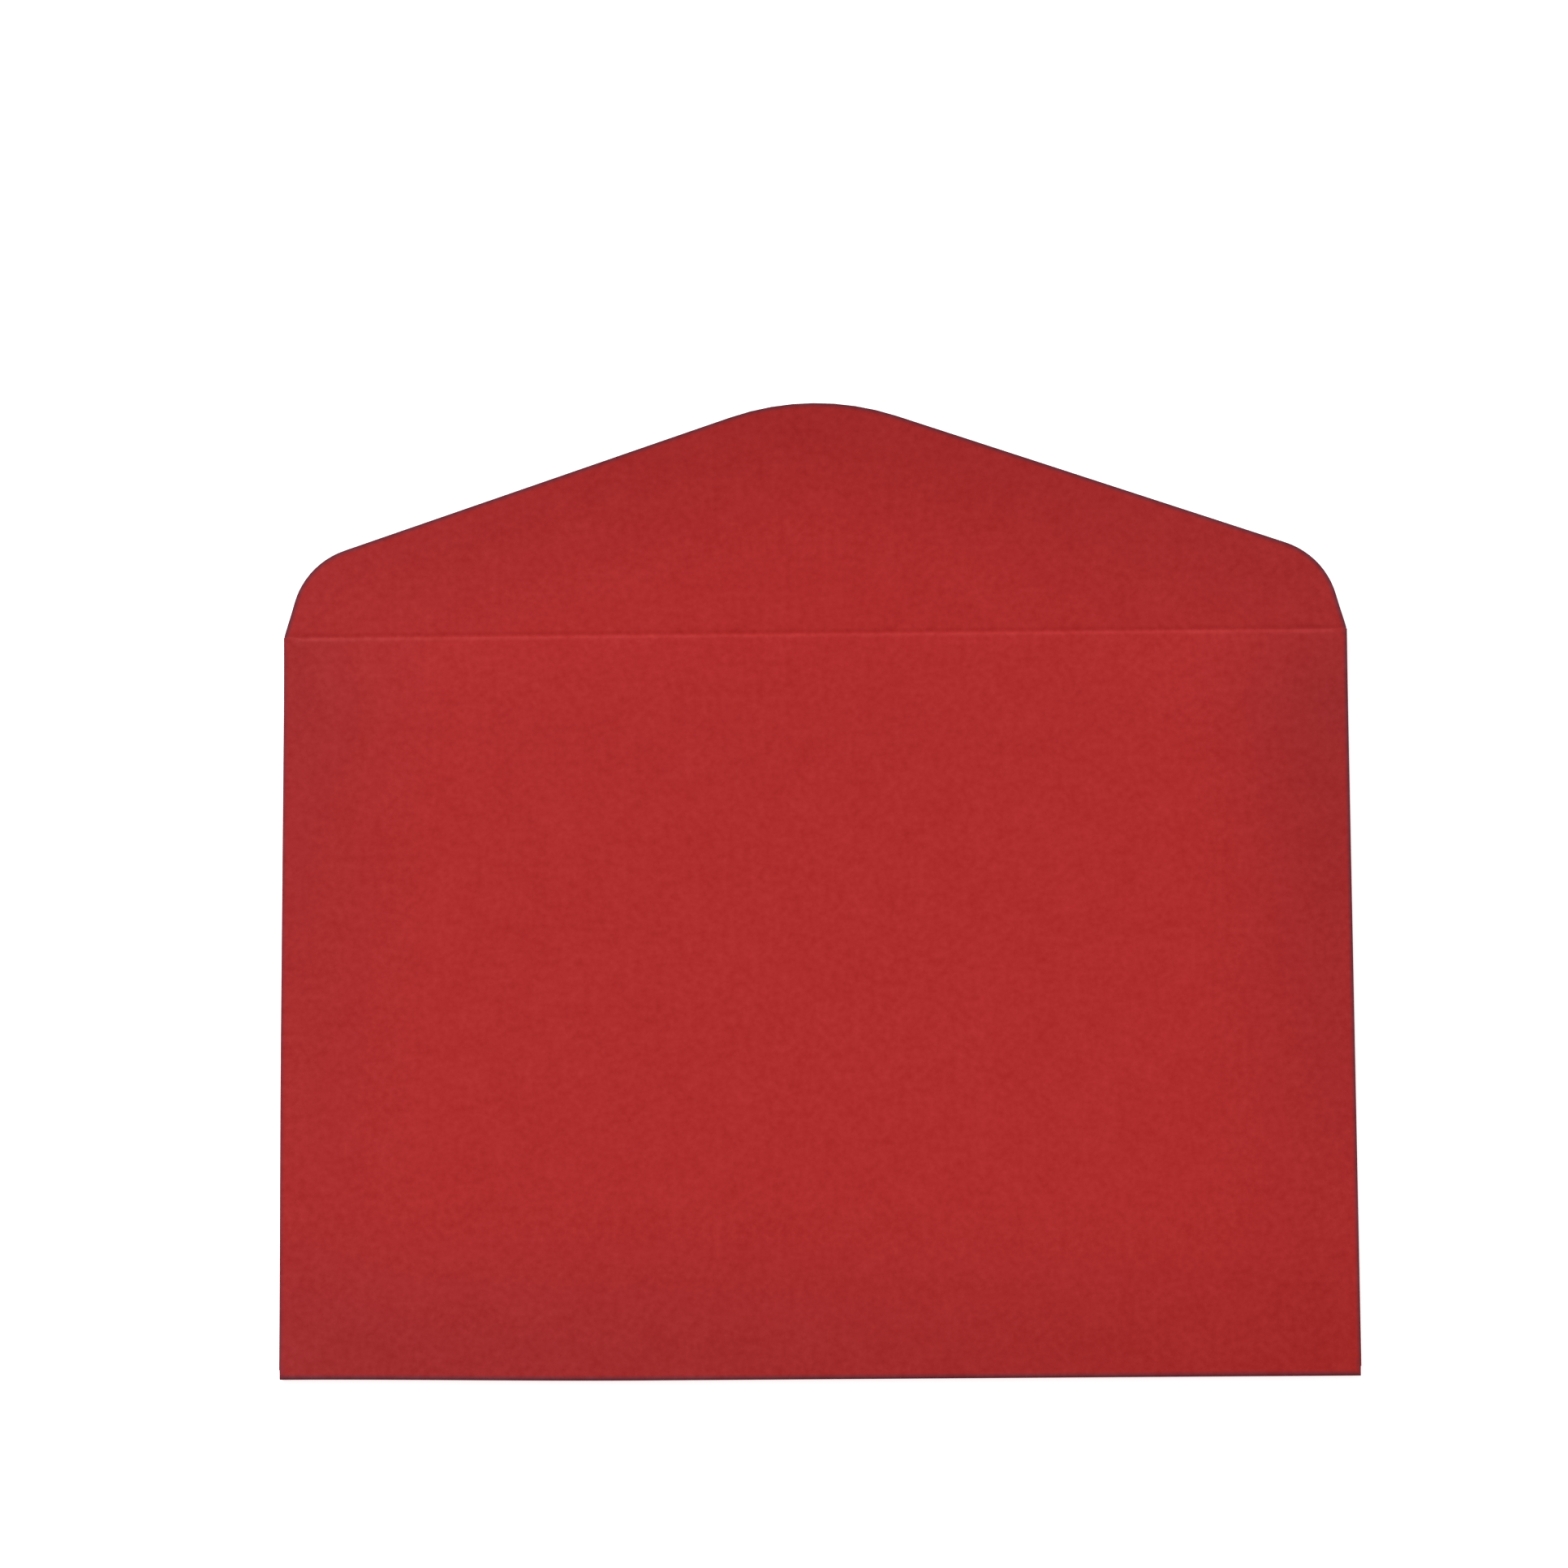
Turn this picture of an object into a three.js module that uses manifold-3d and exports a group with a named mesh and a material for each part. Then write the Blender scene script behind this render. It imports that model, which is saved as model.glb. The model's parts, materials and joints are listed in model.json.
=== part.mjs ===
// A letter envelope of plain coloured paper, lying on its back with its flap open flat.
// Units are millimetres. X runs along the width, +Y from the bottom fold to the flap, +Z up.
// The origin is under the middle of the body, on the surface that the envelope lies on.
//
// The real object is one die-cut sheet, folded at its sides and bottom, and glued at two seams.
// Here the sheet is split at its folds, so each panel, fold, flap and glue film is its own solid.

import * as THREE from "three";
import { mergeVertices } from "three/addons/utils/BufferGeometryUtils.js";
import Module from "manifold-3d";

const wasm = await Module();
wasm.setup();

// Folded body
const bodyWidth = 162;
const bodyHeight = 114;

// Sheet, glue and the room that the sprung front leaves for a letter
const paperThickness = 0.16;
const seamGumThickness = 0.04;
const sealGumThickness = 0.04;
const pocketGap = 1.2;

// Flap outline: leaning side edges, round shoulders, sloping edges and a wide round tip
const flapHeight = 36;
const flapBaseInset = 0.2;
const flapSideLeanDegrees = 14.5;
const flapShoulderRadius = 11.8;
const flapEdgeSlopeDegrees = 19;
const flapTipRadius = 39;

// Crease that the flap turns on: a groove pressed into the front, so a low bead stands inside
const creaseWidth = 3;
const creaseGrooveWidth = 1.2;
const creaseGrooveDepth = 0.06;
const closedFlapClearance = 0.1;

// Gum on the flap's inner side
const sealGumWidth = 9;
const sealGumMargin = 1.5;
const sealGumCreaseClearance = 2.5;

// Back panel, folded up from the bottom
const throatDepth = 12;
const throatCornerRadius = 6;
const backPanelBottomInset = 0.2;
const backPanelThroatInset = 1.2;

// Side flaps, folded in under the back panel
const sideFlapWidth = 16;
const sideFlapTopTaper = 12;
const sideFlapBottomTaper = 5;
const sideFlapBottomClearance = 0.6;

// Seam gum between each side flap and the back panel
const seamGumWidth = 10;
const seamGumMargin = 2;
const seamGumEndMargin = 4;

// Facets in each quarter of a fold and in each rounded corner
const arcSegments = 6;

// Heights of the layers, from the back panel's outer face up
const sideFlapBottomZ = paperThickness + seamGumThickness;
const frontBottomZ = sideFlapBottomZ + paperThickness + pocketGap;
const frontTopZ = frontBottomZ + paperThickness;

// Folds: half rings whose outermost lines are the body's edges
const sideFoldRadius = (frontTopZ - sideFlapBottomZ) / 2;
const bottomFoldRadius = frontTopZ / 2;

// Edges of the flat panels between the folds
const creaseY = bodyHeight / 2;
const creaseBottomY = creaseY - creaseWidth / 2;
const panelBottomY = -bodyHeight / 2 + bottomFoldRadius;
const panelHalfWidth = bodyWidth / 2 - sideFoldRadius;
const bottomFoldHalfLength = bodyWidth / 2 - backPanelBottomInset;
const throatHalfWidth = bodyWidth / 2 - backPanelThroatInset;
const throatY = creaseY - throatDepth;
const sideFlapInnerX = panelHalfWidth - sideFlapWidth;

// The flap turns about a line inside the fold, at the height that lays it flat on the back panel
const flapHingeZ = (frontBottomZ - sealGumThickness - closedFlapClearance) / 2;

const paper = new THREE.MeshStandardMaterial({ color: 0xae2e2d, roughness: 0.85, metalness: 0 });
const innerPaper = new THREE.MeshStandardMaterial({ color: 0xa92d2c, roughness: 0.88, metalness: 0 });
const sealGum = new THREE.MeshStandardMaterial({ color: 0x9c2826, roughness: 0.35, metalness: 0 });
const seamGum = new THREE.MeshStandardMaterial({ color: 0xcfc3ad, roughness: 0.5, metalness: 0 });

/** A corner of an outline, rounded by its radius. */
function corner(x, y, radius = 0) {
  return { point: new THREE.Vector2(x, y), radius: Math.max(radius, 0) };
}

/** A closed shape through the corners, in order, each one rounded by its own radius. */
function roundedShape(corners) {
  const shape = new THREE.Shape();
  corners.forEach(({ point, radius }, index) => {
    const before = corners[(index + corners.length - 1) % corners.length].point;
    const after = corners[(index + 1) % corners.length].point;
    const toBefore = before.clone().sub(point).normalize();
    const toAfter = after.clone().sub(point).normalize();
    const halfAngle = Math.acos(toBefore.dot(toAfter)) / 2;
    // The rounding ends where the shorter of the two edges does
    const shorterEdge = Math.min(before.distanceTo(point), after.distanceTo(point));
    const reach = Math.min(radius / Math.tan(halfAngle), shorterEdge);
    const start = point.clone().addScaledVector(toBefore, reach);
    if (index === 0) {
      shape.moveTo(start.x, start.y);
    } else {
      shape.lineTo(start.x, start.y);
    }
    if (reach > 0) {
      const end = point.clone().addScaledVector(toAfter, reach);
      const inward = toBefore.clone().add(toAfter).normalize();
      const centre = point.clone().addScaledVector(inward, reach / Math.cos(halfAngle));
      const startAngle = start.clone().sub(centre).angle();
      const endAngle = end.clone().sub(centre).angle();
      const turnsRight = toBefore.cross(toAfter) > 0;
      shape.absarc(centre.x, centre.y, start.distanceTo(centre), startAngle, endAngle, turnsRight);
    }
  });
  shape.closePath();
  return shape;
}

/** A flat layer: the shape, extruded upwards by its thickness. */
function layerGeometry(shape, thickness) {
  return new THREE.ExtrudeGeometry(shape, {
    depth: thickness,
    bevelEnabled: false,
    curveSegments: arcSegments,
  });
}

/**
 * The flap's outline from its right side edge over the tip to its left one, moved inwards by
 * the inset. Y is measured from the crease, and the side edges start at startY.
 */
function flapCorners(inset, startY) {
  const lean = THREE.MathUtils.degToRad(flapSideLeanDegrees);
  const slope = THREE.MathUtils.degToRad(flapEdgeSlopeDegrees);
  const baseHalfWidth = bodyWidth / 2 - flapBaseInset;
  // Distances of the two edge lines from the crease's middle, along their outward normals
  const sideOffset = baseHalfWidth * Math.cos(lean) - inset;
  const tipCentreY = flapHeight - flapTipRadius;
  const slopeOffset = tipCentreY * Math.cos(slope) + flapTipRadius - inset;
  // Where the side edge meets the sloping edge
  const meeting = Math.cos(lean) * Math.cos(slope) - Math.sin(lean) * Math.sin(slope);
  const shoulderX = (sideOffset * Math.cos(slope) - slopeOffset * Math.sin(lean)) / meeting;
  const shoulderY = (slopeOffset * Math.cos(lean) - sideOffset * Math.sin(slope)) / meeting;
  const startX = (sideOffset - startY * Math.sin(lean)) / Math.cos(lean);
  return [
    corner(startX, startY),
    corner(shoulderX, shoulderY, flapShoulderRadius - inset),
    corner(0, slopeOffset / Math.cos(slope), flapTipRadius - inset),
    corner(-shoulderX, shoulderY, flapShoulderRadius - inset),
    corner(-startX, startY),
  ];
}

/** A fold in the sheet: half a ring, open towards local -X, centred along local Z. */
function foldGeometry(outerRadius, length) {
  const profile = new THREE.Shape();
  profile.absarc(0, 0, outerRadius, -Math.PI / 2, Math.PI / 2, false);
  profile.absarc(0, 0, outerRadius - paperThickness, Math.PI / 2, -Math.PI / 2, true);
  profile.closePath();
  return layerGeometry(profile, length).translate(0, 0, -length / 2);
}

/** A closed geometry as a solid that can be cut. */
function toSolid(geometry) {
  const bare = geometry.clone();
  bare.deleteAttribute("normal");
  bare.deleteAttribute("uv");
  const merged = mergeVertices(bare);
  return new wasm.Manifold(new wasm.Mesh({
    numProp: 3,
    vertProperties: new Float32Array(merged.attributes.position.array),
    triVerts: new Uint32Array(merged.index.array),
  }));
}

/** A cut solid, back as a geometry. */
function toGeometry(solid) {
  const { vertProperties, triVerts } = solid.getMesh();
  const geometry = new THREE.BufferGeometry();
  geometry.setAttribute("position", new THREE.BufferAttribute(vertProperties, 3));
  geometry.setIndex(new THREE.BufferAttribute(triVerts, 1));
  geometry.computeVertexNormals();
  return geometry;
}

/** Adds a named mesh to a group at a place in the group's frame. */
function addPiece(group, name, geometry, material, x = 0, y = 0, z = 0) {
  const mesh = new THREE.Mesh(geometry, material);
  mesh.name = name;
  mesh.position.set(x, y, z);
  group.add(mesh);
  return mesh;
}

/** The address side: a plain rectangle between the three folds and the crease. */
function addFrontPanel(pocket) {
  const shape = roundedShape([
    corner(-panelHalfWidth, panelBottomY),
    corner(panelHalfWidth, panelBottomY),
    corner(panelHalfWidth, creaseBottomY),
    corner(-panelHalfWidth, creaseBottomY),
  ]);
  addPiece(pocket, "front_panel", layerGeometry(shape, paperThickness), paper, 0, 0, frontBottomZ);
}

/** The back panel: it narrows a little towards the throat, where its corners are round. */
function addBackPanel(pocket) {
  const shape = roundedShape([
    corner(-bottomFoldHalfLength, panelBottomY),
    corner(bottomFoldHalfLength, panelBottomY),
    corner(throatHalfWidth, throatY, throatCornerRadius),
    corner(-throatHalfWidth, throatY, throatCornerRadius),
  ]);
  addPiece(pocket, "back_panel", layerGeometry(shape, paperThickness), paper);
}

/** A fold along one edge of the body, turned to face outwards by its heading about Z. */
function addFold(pocket, name, radius, length, heading, x, y, z) {
  const fold = addPiece(pocket, name, foldGeometry(radius, length), paper, x, y, z);
  fold.rotation.set(Math.PI / 2, 0, heading, "ZYX");
}

/** The three folds of the body. */
function addFolds(pocket) {
  const sideLength = creaseY - panelBottomY;
  const sideMiddleY = (creaseY + panelBottomY) / 2;
  const sideMiddleZ = frontTopZ - sideFoldRadius;
  addFold(pocket, "left_side_fold", sideFoldRadius, sideLength, Math.PI,
    -panelHalfWidth, sideMiddleY, sideMiddleZ);
  addFold(pocket, "right_side_fold", sideFoldRadius, sideLength, 0,
    panelHalfWidth, sideMiddleY, sideMiddleZ);
  addFold(pocket, "bottom_fold", bottomFoldRadius, 2 * bottomFoldHalfLength, -Math.PI / 2,
    0, panelBottomY, bottomFoldRadius);
}

/** A side flap, with tapered ends, running inwards from its fold. Side is -1 or +1. */
function addSideFlap(pocket, name, side) {
  const bottomY = panelBottomY + sideFlapBottomClearance;
  const outline = [
    corner(side * panelHalfWidth, bottomY),
    corner(side * panelHalfWidth, creaseY),
    corner(side * sideFlapInnerX, creaseY - sideFlapTopTaper),
    corner(side * sideFlapInnerX, bottomY + sideFlapBottomTaper),
  ];
  addPiece(pocket, name, layerGeometry(roundedShape(outline), paperThickness), innerPaper,
    0, 0, sideFlapBottomZ);
}

/** The glue film that holds a side flap to the back panel. Side is -1 or +1. */
function addSeamGum(pocket, name, side) {
  const outerX = throatHalfWidth - seamGumMargin;
  const topY = throatY - throatCornerRadius - seamGumEndMargin;
  const bottomY = panelBottomY + sideFlapBottomClearance + sideFlapBottomTaper + seamGumEndMargin;
  const shape = roundedShape([
    corner(side * (outerX - seamGumWidth), bottomY),
    corner(side * outerX, bottomY),
    corner(side * outerX, topY),
    corner(side * (outerX - seamGumWidth), topY),
  ]);
  addPiece(pocket, name, layerGeometry(shape, seamGumThickness), seamGum, 0, 0, paperThickness);
}

/**
 * The crease: a strip of the sheet across the hinge line, with the groove that the creasing
 * wheel leaves. It is as wide as the flat front below the line and as the flap above it.
 */
function addCrease(pocket) {
  const [flapEdge] = flapCorners(0, creaseWidth / 2);
  const [flapBase] = flapCorners(0, 0);
  const outline = roundedShape([
    corner(-panelHalfWidth, -creaseWidth / 2),
    corner(panelHalfWidth, -creaseWidth / 2),
    corner(panelHalfWidth, 0),
    corner(flapBase.point.x, 0),
    corner(flapEdge.point.x, creaseWidth / 2),
    corner(-flapEdge.point.x, creaseWidth / 2),
    corner(-flapBase.point.x, 0),
    corner(-panelHalfWidth, 0),
  ]);
  const section = roundedShape([
    corner(-creaseWidth / 2, 0),
    corner(-creaseGrooveWidth / 2, 0),
    corner(0, -creaseGrooveDepth),
    corner(creaseGrooveWidth / 2, 0),
    corner(creaseWidth / 2, 0),
    corner(creaseWidth / 2, paperThickness),
    corner(creaseGrooveWidth / 2, paperThickness),
    corner(0, paperThickness - creaseGrooveDepth),
    corner(-creaseGrooveWidth / 2, paperThickness),
    corner(-creaseWidth / 2, paperThickness),
  ]);
  // The section's X and Y become the part's Y and Z, and its length runs along X
  const strip = layerGeometry(section, bodyWidth).translate(0, 0, -bodyWidth / 2);
  strip.applyMatrix4(new THREE.Matrix4().set(0, 0, 1, 0, 1, 0, 0, 0, 0, 1, 0, 0, 0, 0, 0, 1));
  const cutter = layerGeometry(outline, paperThickness + 3 * creaseGrooveDepth);
  cutter.translate(0, 0, -2 * creaseGrooveDepth);
  const crease = toSolid(strip).intersect(toSolid(cutter));
  addPiece(pocket, "flap_crease", toGeometry(crease), paper, 0, creaseY, frontBottomZ);
}

/** The flap beyond the crease. The group's origin is on the hinge line. */
function addSealFlap(flap) {
  const shape = roundedShape(flapCorners(0, creaseWidth / 2));
  addPiece(flap, "seal_flap", layerGeometry(shape, paperThickness), paper,
    0, 0, frontBottomZ - flapHingeZ);
}

/**
 * The gum band that follows the flap's sloping edges on its inner side. It ends where its inner
 * edge would turn down at the shoulder, or else its clearance above the crease.
 */
function addSealGum(flap) {
  const [, innerShoulder, innerTip] = flapCorners(sealGumMargin + sealGumWidth, 0);
  const endY = Math.max(innerShoulder.point.y, sealGumCreaseClearance);
  const slope = THREE.MathUtils.degToRad(flapEdgeSlopeDegrees);
  const innerEndX = (innerTip.point.y - endY) / Math.tan(slope);
  const band = roundedShape([
    ...flapCorners(sealGumMargin, endY),
    corner(-innerEndX, endY),
    innerTip,
    corner(innerEndX, endY),
  ]);
  addPiece(flap, "seal_gum", layerGeometry(band, sealGumThickness), sealGum,
    0, 0, frontBottomZ - flapHingeZ - sealGumThickness);
}

const envelope = new THREE.Group();

const pocket = new THREE.Group();
addFrontPanel(pocket);
addBackPanel(pocket);
addFolds(pocket);
addSideFlap(pocket, "left_side_flap", -1);
addSideFlap(pocket, "right_side_flap", 1);
addSeamGum(pocket, "left_seam_gum", -1);
addSeamGum(pocket, "right_seam_gum", 1);
addCrease(pocket);
envelope.add(pocket);

const flap = new THREE.Group();
flap.position.set(0, creaseY, flapHingeZ);
addSealFlap(flap);
addSealGum(flap);
envelope.add(flap);

export default envelope;
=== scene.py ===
# A plain red letter envelope, lying on a white table with its flap open flat.
#
# As in the real envelope, the paper is one sheet. It is drawn flat, as it is die-cut, and then
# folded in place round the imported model, together with the films of gum on its inner side.
# Lengths here are millimetres, and become metres where a mesh, a light or a camera is made.
import json
import math

import bmesh
import bpy
import numpy as np
from mathutils import Matrix, Vector, geometry, noise


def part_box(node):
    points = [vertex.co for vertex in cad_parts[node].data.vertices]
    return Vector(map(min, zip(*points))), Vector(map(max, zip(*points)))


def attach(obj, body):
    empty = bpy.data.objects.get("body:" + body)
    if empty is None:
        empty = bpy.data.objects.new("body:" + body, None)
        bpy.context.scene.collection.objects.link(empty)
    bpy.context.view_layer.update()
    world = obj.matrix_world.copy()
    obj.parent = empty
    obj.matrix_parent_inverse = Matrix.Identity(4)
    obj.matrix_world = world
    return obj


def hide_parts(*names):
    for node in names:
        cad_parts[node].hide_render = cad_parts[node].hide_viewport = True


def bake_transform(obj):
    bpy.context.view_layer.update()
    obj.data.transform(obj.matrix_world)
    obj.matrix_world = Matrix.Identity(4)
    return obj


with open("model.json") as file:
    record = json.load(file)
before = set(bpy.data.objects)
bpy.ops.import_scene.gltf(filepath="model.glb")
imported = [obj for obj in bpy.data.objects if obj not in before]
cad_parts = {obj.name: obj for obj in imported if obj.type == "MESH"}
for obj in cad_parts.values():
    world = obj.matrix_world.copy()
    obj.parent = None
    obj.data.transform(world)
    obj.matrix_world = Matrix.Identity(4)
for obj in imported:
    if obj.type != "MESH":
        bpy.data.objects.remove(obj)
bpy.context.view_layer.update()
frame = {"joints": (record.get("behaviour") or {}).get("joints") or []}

MM = 0.001


def node_box(name):
    """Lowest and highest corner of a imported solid, in millimetres."""
    low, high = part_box(name)
    return np.array(low) / MM, np.array(high) / MM


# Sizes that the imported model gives
back_low, back_high = node_box("back_panel")
front_low, front_high = node_box("front_panel")
side_fold_high = node_box("right_side_fold")[1]
bottom_fold_low = node_box("bottom_fold")[0]
side_flap_low, side_flap_high = node_box("right_side_flap")
seam_gum_low, seam_gum_high = node_box("right_seam_gum")
seal_gum_low, seal_gum_high = node_box("seal_gum")
seal_flap_high = node_box("seal_flap")[1]
hinge_joint = frame["joints"][0]

thickness = back_high[2] - back_low[2]
gum_thickness = seal_gum_high[2] - seal_gum_low[2]
body_half_width = side_fold_high[0]
body_bottom_y = bottom_fold_low[1]
crease_y = hinge_joint["pos_m"][1] / MM
throat_y = back_high[1]
flap_height = seal_flap_high[1] - crease_y
crease_z = (front_low[2] + front_high[2]) / 2
back_z = back_low[2] + thickness / 2
side_flap_z = side_flap_low[2] + thickness / 2

# The sheet's folds are crisp: radii of the middle of the paper
side_fold_radius = 0.18
bottom_fold_radius = (side_flap_z + 2 * side_fold_radius - back_z) / 2
edge_x = body_half_width - thickness / 2 - side_fold_radius
edge_y = body_bottom_y + thickness / 2 + bottom_fold_radius
edge_z = side_flap_z + 2 * side_fold_radius

# The side folds are pinched at their two ends, and the sheet is let out there by as much
side_fold_pinch = 0.15
side_fold_end_length = 3.0
side_fold_squeeze = 0.92
let_out_length = 5.0
let_out_width = 8.0

# Each fold takes this width in the flat drawing, so that its facets aren't slivers
fold_strip = 3.0
fold_facets = 10

# Die-cut outline
side_flap_width = side_flap_high[0] - side_flap_low[0]
side_flap_bottom_y = side_flap_low[1]
side_flap_top_taper = 12.0
side_flap_bottom_taper = 5.0
throat_inset = 1.2
throat_half_width = body_half_width - throat_inset
throat_corner_radius = 6.0
flap_base_inset = 0.2
flap_base_half_width = body_half_width - flap_base_inset
flap_side_lean = math.radians(14.5)
flap_edge_slope = math.radians(19)
flap_shoulder_radius = 11.8
flap_tip_radius = 39.0

# Painted shade: a dark line along the cut edges and the folds, strongest round the flap's outer side
# and weaker on the left fold, which faces the light
rim_width = 0.8
rim_inside_flap = 0.4
rim_on_other_cuts = 0.3
fold_rim_width = 0.45
fold_rim_shade = 0.65
left_fold_rim_shade = 0.5
rim_shade_tint = (0.28, 1.3, 1.9)

# Crown of the sprung front panel, and rise and curl of the open flap
crown_height = 1.95
crown_tilt_x = -0.25
crown_tilt_y = 0.2
crown_ramp_left = 35.0
crown_ramp_right = 32.0
crown_ramp_bottom = 37.0
crown_ramp_top = 15.0
flap_rise_slope = 0.024
flap_curl = -0.2
flap_curl_power = 3.0

# Waviness of the front and the back, and the back's slight lift between its seams
wave_height = 0.03
wave_length = 22.0
wave_fade = 8.0
wave_fade_at_crease = 6.0
front_wave_seed = 3.7
back_wave_seed = 9.2
back_lift = 0.05
back_fade_at_seams = 3.0
back_fade_at_edges = 6.0

# Line that the creasing wheel pressed into the outer side: its flanks below and above the crease
groove_depth_below = 0.095
groove_depth_above = 0.062
groove_spread_below = 0.25
groove_spread_above = 0.34
groove_end_fade = 1.2
groove_end_gain = 0.5
groove_end_length = 14.0

# Painted light along the crease: a pale painted highlight below it and a dark line of painted shade
# above it, as the groove's flanks face towards and away from the light
crease_light_below = 0.38
crease_shade_above = 0.45
crease_light_spread = 0.22
crease_shade_share = 0.5
crease_light_left_gain = 0.3
crease_light_tint = (1.02, 1.25, 1.25)

# The lower left corner of the folded body is drawn in a little
corner_pull_x = 0.20
corner_pull_y = 0.48
corner_pull_reach = 55.0

# Gum: the films sink a little into the paper under them
seal_gum_margin = 1.5
seal_gum_width = 9.0
seal_gum_start = seal_gum_low[1] - crease_y
seam_gum_corner_radius = 1.5
gum_sink = 0.005

# Mesh spacing, which is finer near the crease and along rounded corners
panel_step = 2.0
crease_step = 0.16
crease_zone = 1.6
arc_step = math.radians(5)

# Band of faces along a mesh's rim: the grid keeps this many of its widths clear of the outline
gum_rim_width = 0.3
rim_clearance = 1.6
shortest_rim_edge = 0.05
least_corner_spread = 0.4

# Limits for making quads of triangles, for a length that counts as none and for joining points
quad_shape_limit = 0.35
tiny = 1e-6
merge_distance = 1e-5

# Flat drawing: u runs along the width and v towards the flap, and the front panel lies true
side_flap_u = edge_x + fold_strip
back_top_v = edge_y - fold_strip
throat_v = back_top_v - (throat_y - edge_y)


def smooth(value):
    """Smooth step from 0 to 1 as the value goes from 0 to 1."""
    t = np.clip(value, 0.0, 1.0)
    return t * t * (3 - 2 * t)


def ramp(value):
    """Rise from 0 to 1 that starts steeply and ends level, as a sprung sheet leaves its fold."""
    t = np.clip(value, 0.0, 1.0)
    return 1 - (1 - t) ** 2


def waves(x, y, seed):
    """Slight waviness of the paper, as heights at the points."""
    spots = zip(x / wave_length, y / wave_length)
    return wave_height * np.array([noise.noise((a, b, seed)) for a, b in spots])


# Shape of the folded sheet

def front_height(x, y):
    """Height of the middle of the paper over the front panel, without its waves."""
    crown = crown_height + crown_tilt_x * x / body_half_width + crown_tilt_y * y / crease_y
    across = ramp((edge_x + x) / crown_ramp_left) * ramp((edge_x - x) / crown_ramp_right)
    height = edge_z + (crown - edge_z) * across * ramp((y - edge_y) / crown_ramp_bottom)
    top = np.clip((y - crease_y + crown_ramp_top) / crown_ramp_top, 0, 1) ** 2
    return height * (1 - top) + crease_z * top


def flap_rise(y):
    """Height of the flap above the crease."""
    reach = np.maximum(y - crease_y, 0)
    return flap_rise_slope * reach + flap_curl * (reach / flap_height) ** flap_curl_power


def groove(x, y):
    """
    Depth of the line that the creasing wheel pressed. It is pressed deepest near its ends, and
    fades out at the sheet's edges. The flap lies a little lower than the front beside it.
    """
    below = groove_depth_below * np.exp(-((y - crease_y) / groove_spread_below) ** 2 / 2)
    above = groove_depth_above * np.exp(-((y - crease_y) / groove_spread_above) ** 2 / 2)
    above = above + groove_depth_below - groove_depth_above
    inward = edge_x - np.abs(x)
    gain = 1 + groove_end_gain * smooth(1 - inward / groove_end_length)
    return np.where(y < crease_y, below, above) * gain * smooth(inward / groove_end_fade)


def place_front(u, v):
    """Front panel and flap: the flat drawing, lifted to its height."""
    height = np.where(v > crease_y, crease_z + flap_rise(v), front_height(u, v))
    wavy = smooth((edge_x - np.abs(u)) / wave_fade) * smooth((v - edge_y) / wave_fade)
    wavy = wavy * smooth(np.abs(v - crease_y) / wave_fade_at_crease)
    height = height + waves(u, v, front_wave_seed) * wavy - groove(u, v)
    return np.stack([u, v, height], axis=1), np.stack([u, v], axis=1)


def pinch(v):
    """How much less the side folds stand out from the front panel, at their ends."""
    top = smooth(1 - (crease_y - v) / side_fold_end_length)
    bottom = smooth(1 - (v - side_flap_bottom_y) / side_fold_end_length)
    return side_fold_pinch * np.maximum(top, bottom)


def squeeze(u, v):
    """Share by which the paper's inner half is pressed thin, inside the side folds' pinched ends."""
    on_fold = np.abs(np.abs(u) - edge_x - fold_strip / 2) <= fold_strip / 2 + tiny
    return np.where(on_fold, side_fold_squeeze * pinch(v) / side_fold_pinch, 0)


def place_side_fold(u, v):
    """Side fold: half a turn, from the front panel's edge down and back in."""
    side = np.sign(u)
    angle = (np.abs(u) - edge_x) / fold_strip * math.pi
    centre_z = front_height(side * edge_x, v) - side_fold_radius
    x = side * (edge_x + (side_fold_radius - pinch(v)) * np.sin(angle))
    z = centre_z + side_fold_radius * np.cos(angle)
    true_u = side * (edge_x + side_fold_radius * angle)
    return np.stack([x, v, z], axis=1), np.stack([true_u, v], axis=1)


def place_side_flap(u, v):
    """Side flap: it lies on the back panel, and hangs from its fold near the throat."""
    side = np.sign(u)
    inward = np.abs(u) - side_flap_u
    lift = front_height(side * edge_x, v) - edge_z
    x = side * (edge_x - inward)
    z = side_flap_z + lift * (1 - smooth(inward / side_flap_width))
    true_u = side * (edge_x + math.pi * side_fold_radius + inward)
    return np.stack([x, v, z], axis=1), np.stack([true_u, v], axis=1)


def place_bottom_fold(u, v):
    """Bottom fold: half a turn, from the front panel down and under."""
    angle = (edge_y - v) / fold_strip * math.pi
    y = edge_y - bottom_fold_radius * np.sin(angle)
    z = edge_z - bottom_fold_radius + bottom_fold_radius * np.cos(angle)
    true_v = edge_y - bottom_fold_radius * angle
    return np.stack([u, y, z], axis=1), np.stack([u, true_v], axis=1)


def place_back(u, v):
    """Back panel: it rests on the table, drawn down where the side flaps are glued to it."""
    y = edge_y + back_top_v - v
    between_seams = smooth((side_flap_low[0] - np.abs(u)) / back_fade_at_seams)
    below_throat = smooth((v - throat_v) / back_fade_at_edges)
    above_fold = smooth((back_top_v - v) / back_fade_at_edges)
    lift = (back_lift + waves(u, v, back_wave_seed)) * between_seams * below_throat * above_fold
    z = back_z + np.maximum(lift, 0)
    true_v = v + fold_strip - math.pi * bottom_fold_radius
    return np.stack([u, y, z], axis=1), np.stack([u, true_v], axis=1)


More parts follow.
